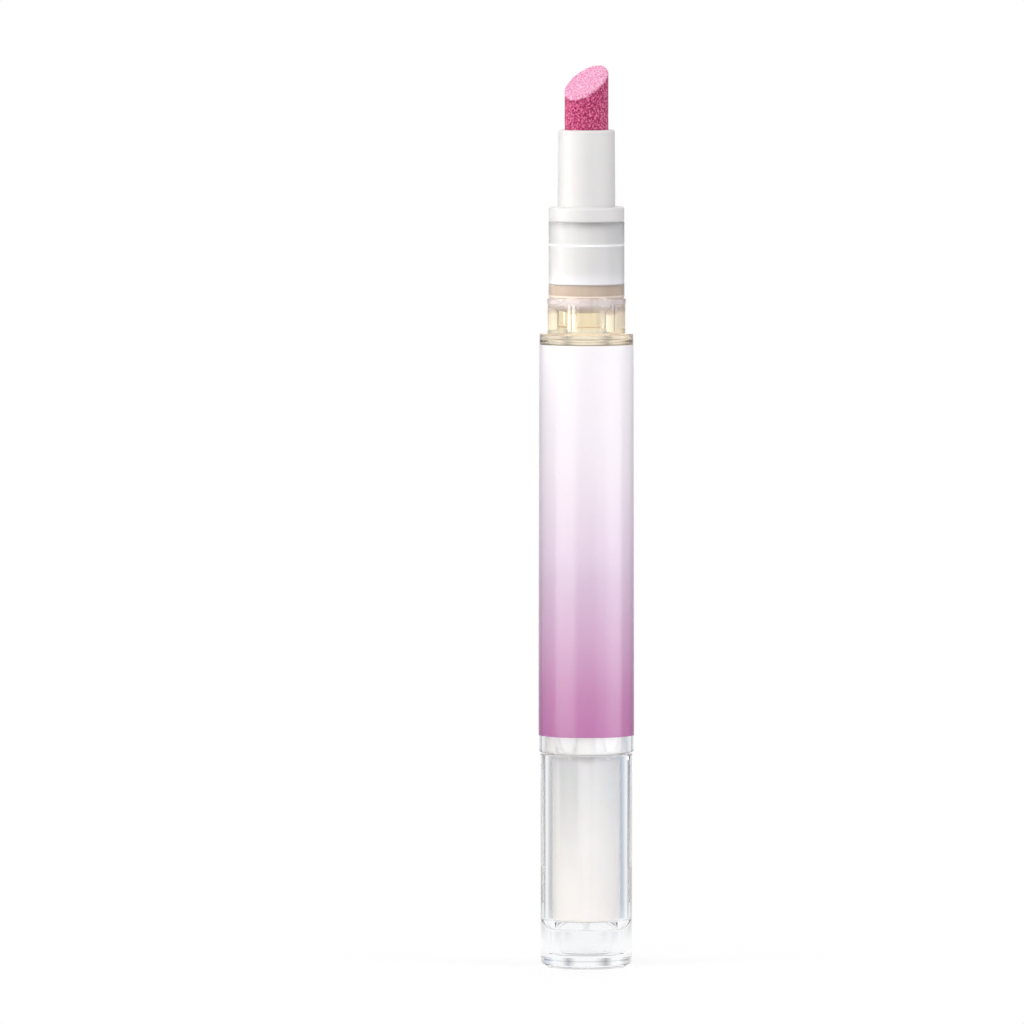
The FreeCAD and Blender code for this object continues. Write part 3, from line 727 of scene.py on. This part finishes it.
# The tint is full under the nose. It is paler at the shoulder and beside the nose, where less oil
# is in sight.
depth = add(tree, "ShaderNodeMapRange", None,
            {"Value": height.outputs["Z"], "From Min": TINT_LOW, "From Max": TINT_HIGH})
tone = add(tree, "ShaderNodeValToRGB", None, {0: depth.outputs[0]},
           [(0.15, "#FFF4DE"), (0.225, "#FFEBC2"), (0.5, "#FFEBC2"), (0.6, "#FFF8EE")])
tone = add(tree, "ShaderNodeMix", SOFT_LIGHT,
           {0: 0.05, 6: tone.outputs[0], 7: swirl.outputs["Color"]})
surface = add(tree, "ShaderNodeBsdfPrincipled", None, {
    "Base Color": tone.outputs[2], "Roughness": 0.0, "IOR": 1.48, "Transmission Weight": 1.0})
add(tree, "ShaderNodeOutputMaterial", None, {"Surface": surface.outputs[0]})
print(golden_oil.name, "made")

# %% Oil
# Where the two pieces meet and how far each passes that height, and how far the oil reaches into
# the wall, the funnel and the nose.
MEET, NECK_PAST, COLUMN_PAST, WET, FUNNEL_WET, NOSE_WET = 78.05, 0.04, 0.02, 0.02, 0.04, 0.05
BEND_LOW, BEND_HIGH = FUNNEL_HIGH - 0.05, FUNNEL_HIGH + 0.2
NOSE_R, NOSE_EDGE, NOSE_DROP = 3.45, 83.1, 1.3
oil_low, oil_high = heights("oil_fill")


def in_funnel(z):
    """The oil's radius and height in the funnel."""
    narrowing = (BORE_R - NECK_BORE_R) / (FUNNEL_HIGH - FUNNEL_LOW)
    return BORE_R - (z - FUNNEL_LOW) * narrowing + FUNNEL_WET, z


def dome(r, edge, hole, steps=12):
    """The rounded end of the holder's nose, from its edge in to a hole."""
    last = math.acos(hole / r)
    bends = [last * k / steps for k in range(steps + 1)]
    return [(r * math.cos(bend), edge - NOSE_DROP * math.sin(bend)) for bend in bends]


mesh = bmesh.new()
turn(mesh, [
    (0, MEET - NECK_PAST), in_funnel(MEET - NECK_PAST), in_funnel(BEND_LOW),
    (NECK_BORE_R + WET, BEND_HIGH), (NECK_BORE_R + WET, oil_high), (NOSE_R - NOSE_WET, oil_high),
    *dome(NOSE_R - NOSE_WET, NOSE_EDGE + NOSE_WET, 0.0)])
oil_neck = piece("oil_neck", mesh, golden_oil, "barrel")
mesh = bmesh.new()
turn(mesh, [
    (0, oil_low), (BORE_R + WET, oil_low), (BORE_R + WET, FUNNEL_LOW),
    in_funnel(MEET + COLUMN_PAST), (0, MEET + COLUMN_PAST)])
oil_column = piece("oil_column", mesh, golden_oil, "barrel")
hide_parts("oil_fill")
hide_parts("oil_fill")
oil_neck.visible_shadow = False
oil_column.visible_shadow = False
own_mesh(oil_column)

# %% [markdown]
# ## White polypropylene
# The tip holder is pigmented polypropylene. It scatters light under its skin, which softens its
# shadows, and the mould leaves it between matt and glossy. Its nose, plug and stem differ in tone:
# the nose is tan where the oil shows, and the other changes are painted light and shade. They could
# have a material each, but it is one moulding, so one ramp along the height sets them.

# %% White polypropylene
HOLDER_TONE_LOW, HOLDER_TONE_HIGH = 80.0, 100.0
# Clouds of pigment, and the mould's grain, again drawn coarser than it is.
PIGMENT_CLOUD, HOLDER_GRAIN = 2.5, 0.2

white_pp, tree, mm = start_material("white_polypropylene_moulded")
height = add(tree, "ShaderNodeSeparateXYZ", None, {0: mm})
rise = add(tree, "ShaderNodeMapRange", None,
           {"Value": height.outputs["Z"], "From Min": HOLDER_TONE_LOW, "From Max": HOLDER_TONE_HIGH})
# The thin nose lets the oil inside it show, so it is tan. The rest is painted light and shade: the
# legs are painted lighter, a dark and a light line across the nose are a painted shade line and a
# painted highlight from the bead's edge, the plug in the neck is painted greyer than the stem as
# shade with a painted lighter band at its foot, and a painted highlight lies on its sealing ring.
tone = add(tree, "ShaderNodeValToRGB", None, {0: rise.outputs[0]},
           [(0.08, "#F4F3F4"), (0.1, "#D3CACB"), (0.18, "#D0C7CA"), (0.183, "#A39590"),
            (0.19, "#A39590"), (0.194, "#E6DAD4"), (0.203, "#E6DAD4"), (0.207, "#B8A696"),
            (0.265, "#C2B0A1"), (0.285, "#DEDDDF"), (0.36, "#CFCDCC"), (0.512, "#CCCAC9"),
            (0.516, "#F2F1F2"), (0.526, "#F2F1F2"), (0.53, "#CCCAC9"), (0.66, "#C9C7C6"),
            (0.68, "#D0CFCE")])
cloud = add(tree, "ShaderNodeTexNoise", None, {"Vector": mm, "Scale": 1 / PIGMENT_CLOUD, "Detail": 2.0})
tone = add(tree, "ShaderNodeMix", SOFT_LIGHT,
           {0: 0.08, 6: tone.outputs[0], 7: cloud.outputs["Color"]})
grain = add(tree, "ShaderNodeTexNoise", None, {"Vector": mm, "Scale": 1 / HOLDER_GRAIN, "Detail": 4.0})
relief = add(tree, "ShaderNodeBump", None,
             {"Height": grain.outputs[0], "Strength": 0.15, "Distance": 0.015 * MM})
gloss = add(tree, "ShaderNodeMapRange", None,
            {"Value": grain.outputs[0], "To Min": 0.32, "To Max": 0.45})
surface = add(tree, "ShaderNodeBsdfPrincipled", None, {
    "Base Color": tone.outputs[2], "Roughness": gloss.outputs[0], "IOR": 1.49,
    "Subsurface Weight": 0.15, "Subsurface Radius": (1.0, 0.95, 0.92), "Subsurface Scale": 0.5 * MM,
    "Normal": relief.outputs[0]})
add(tree, "ShaderNodeOutputMaterial", None, {"Surface": surface.outputs[0]})
print(white_pp.name, "made")

# %% Tip holder
# The plug is pressed into the neck, so it reaches a hair into the wall as the oil does.
PLUG_LOW, PLUG_R, FLANGE_R, STEM_FOOT_R, STEM_TOP_R = 85.5, NECK_BORE_R + WET, 4.72, 3.6, 3.53
FLANGE_TOP, POCKET_R, POCKET_LOW, FEED_R = 95.2, 2.8, 100.0, 1.0
SEAL_R, SEAL_LOW, SEAL_FLAT_LOW, SEAL_FLAT_HIGH, SEAL_HIGH = PLUG_R + 0.08, 90.28, 90.32, 90.42, 90.56
# Each leg is split by a slot. Its outer end runs into the nose, and its inner end stops lower.
LEGS, LEG_TURN, LEG_WIDE, LEG_SLOT, LEG_IN_R = 4, -30.0, 0.85, 0.16, 2.5
LEG_OUT_TOP, LEG_IN_TOP = NOSE_EDGE + 0.1, NOSE_EDGE - 0.7
leg_low, stem_top = heights("tip_holder")
holder_line = eased([
    *[(r, z, 0) for r, z in reversed(dome(NOSE_R, NOSE_EDGE, FEED_R))],
    (NOSE_R, PLUG_LOW, 0.05), (PLUG_R, PLUG_LOW, 0.1), (PLUG_R, SEAL_LOW, 0),
    (SEAL_R, SEAL_FLAT_LOW, 0), (SEAL_R, SEAL_FLAT_HIGH, 0), (PLUG_R, SEAL_HIGH, 0),
    (PLUG_R, neck_top, 0.05), (FLANGE_R, neck_top, 0.1), (FLANGE_R, FLANGE_TOP, 0.3),
    (STEM_FOOT_R, FLANGE_TOP, 0.12), (STEM_TOP_R, stem_top, 0.25), (POCKET_R, stem_top, 0.12),
    (POCKET_R, POCKET_LOW, 0.1), (FEED_R, POCKET_LOW, 0.1),
])
mesh = bmesh.new()
turn(mesh, holder_line)
half_leg = math.degrees(LEG_WIDE / 2 / NOSE_R)
half_slot = math.degrees(LEG_SLOT / 2 / NOSE_R)
leg_line = eased([(LEG_IN_R, leg_low, 0.15), (NOSE_R, leg_low, 0.2),
                  (NOSE_R, LEG_OUT_TOP, 0), (LEG_IN_R, LEG_IN_TOP, 0)])
for leg in range(LEGS):
    middle = -90 + LEG_TURN + 360 / LEGS * leg
    for side in (middle - half_leg, middle + half_slot):
        turn(mesh, leg_line, first=side, sweep=half_leg - half_slot, steps=5)
holder = piece("tip_holder_white", mesh, white_pp, "barrel")
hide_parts("tip_holder")

# %% [markdown]
# ## Sponge tip
# The tip is a fine dyed foam, ground round and sliced at a slant. The slice shows open cells and
# looks paler than the ground side. A displacement modifier could roughen a plain rod, but here it
# is built as a fine grid that runs up the side, over a soft edge and across the slice, and a cell
# noise a third of a millimetre wide pushes every point in, so that the edge is ragged as foam is.

# %% Foam
# The foam's radius, its cells, and the patches of dye, about a fifth of a millimetre wide.
FOAM_R, CELL, DYE_PATCH = 2.75, 0.34, 1 / 4.6
# The slice climbs by these shares to the right and to the back. Its height is where it cuts the
# axis, and the paler tone starts and is full this far below it.
SLANT_X, SLANT_Y, SLICE_Z, PALE_FROM, PALE_FULL = 0.48, 0.58, 111.0, 0.55, 0.2

dyed_foam, tree, mm = start_material("dyed_foam_ground_and_sliced")
place = add(tree, "ShaderNodeSeparateXYZ", None, {0: mm})
slice_x = add(tree, "ShaderNodeMath", {"operation": "MULTIPLY_ADD"},
              {0: place.outputs["X"], 1: -SLANT_X, 2: place.outputs["Z"]})
slice_y = add(tree, "ShaderNodeMath", {"operation": "MULTIPLY_ADD"},
              {0: place.outputs["Y"], 1: -SLANT_Y, 2: slice_x.outputs[0]})
on_slice = add(tree, "ShaderNodeMapRange", {"interpolation_type": "SMOOTHSTEP"},
               {"Value": slice_y.outputs[0],
                "From Min": SLICE_Z - PALE_FROM, "From Max": SLICE_Z - PALE_FULL})
cells = add(tree, "ShaderNodeTexVoronoi", None,
            {"Vector": mm, "Scale": 1 / CELL, "Randomness": 1.0})
fuzz = add(tree, "ShaderNodeTexNoise", None,
           {"Vector": mm, "Scale": 1 / DYE_PATCH, "Detail": 2.0, "Roughness": 0.5})
side_tone = add(tree, "ShaderNodeValToRGB", None, {0: fuzz.outputs[0]},
                [(0.35, "#7A2045"), (0.5, "#AE3F69"), (0.65, "#D27698")])
slice_tone = add(tree, "ShaderNodeValToRGB", None, {0: fuzz.outputs[0]},
                 [(0.34, "#C07399"), (0.5, "#D492B0"), (0.66, "#E4B5C9")])
dye = add(tree, "ShaderNodeMix", MIX,
          {0: on_slice.outputs[0], 6: side_tone.outputs[0], 7: slice_tone.outputs[0]})
pits = add(tree, "ShaderNodeMapRange", None,
           {"Value": cells.outputs["Distance"], "From Min": 0.05, "From Max": 0.5})
relief = add(tree, "ShaderNodeBump", None,
             {"Height": pits.outputs[0], "Strength": 0.6, "Distance": 0.08 * MM})
surface = add(tree, "ShaderNodeBsdfPrincipled", None, {
    "Base Color": dye.outputs[2], "Roughness": 0.95, "IOR": 1.4, "Specular IOR Level": 0.2,
    "Subsurface Weight": 0.2, "Subsurface Radius": (1.0, 0.35, 0.55), "Subsurface Scale": 0.4 * MM,
    "Sheen Weight": 0.25, "Sheen Roughness": 0.5, "Sheen Tint": colour("#FBC4DE"),
    "Normal": relief.outputs[0]})
add(tree, "ShaderNodeOutputMaterial", None, {"Surface": surface.outputs[0]})
print(dyed_foam.name, "with cells of", CELL, "mm")

# %% Sponge tip
# Points around, rings up the side and rings across the slice with its soft edge, which takes the
# first fifth of them.
AROUND, UP_SIDE, ACROSS, EDGE_SHARE = 200, 110, 29, 0.2
FOAM_EDGE = 0.35
SLICE_R = FOAM_R - FOAM_EDGE
# How deep a cell and a slow swell push in, how wide a cell's pit is in cells, the swell's count
# per mm, and how far below the slice the push turns from inward to downward.
PIT_DEEP, PIT_WIDE, SWELL_DEEP, SWELL, SLICE_SKIN = 0.10, 0.55, 0.03, 1.1, 0.5
foam_low = heights("sponge_tip")[0]


def foam_skin(x, y, z):
    """A point of the smooth form, pushed in by the foam's cells."""
    here = Vector((x, y, z))
    nearest = noise.voronoi(here / CELL)[0][0]
    swell = 0.5 + 0.5 * noise.noise(here * SWELL)
    deep = PIT_DEEP * max(0.0, 1 - nearest / PIT_WIDE) + SWELL_DEEP * swell
    inward = Vector((-x, -y, 0)) * (1 / FOAM_R)
    if z > SLICE_Z + SLANT_X * x + SLANT_Y * y - SLICE_SKIN:
        inward = (inward * 0.5 + Vector((SLANT_X, SLANT_Y, -1))).normalized()
    return (here + inward * deep) * MM


def foam_point(step, a):
    """A point up the side, or over the soft edge and across the slice."""
    c, s = math.cos(a), math.sin(a)
    climb = SLANT_X * c + SLANT_Y * s
    if step < UP_SIDE:
        rim = SLICE_Z + climb * SLICE_R
        r, z = FOAM_R, foam_low + (rim - FOAM_EDGE - foam_low) * step / (UP_SIDE - 1)
    else:
        share = (step - UP_SIDE + 1) / (ACROSS + 1)
        bend = min(1.0, share / EDGE_SHARE) * math.pi / 2
        r = SLICE_R * (1 - max(0.0, share - EDGE_SHARE) / (1 - EDGE_SHARE)) + FOAM_EDGE * math.cos(bend)
        z = SLICE_Z + climb * min(r, SLICE_R) - FOAM_EDGE * (1 - math.sin(bend))
    return foam_skin(r * c, r * s, z)


mesh = bmesh.new()
turns = [2 * math.pi * k / AROUND for k in range(AROUND)]
grid = [[mesh.verts.new(foam_point(step, a)) for a in turns] for step in range(UP_SIDE + ACROSS)]
for low, high in zip(grid, grid[1:]):
    for k in range(AROUND):
        n = (k + 1) % AROUND
        mesh.faces.new([low[k], low[n], high[n], high[k]])
mesh.faces.new(list(reversed(grid[0])))
mesh.faces.new(grid[-1])
sponge = piece("sponge_tip_foam", mesh, dyed_foam, "barrel", sharp=180)
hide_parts("sponge_tip")
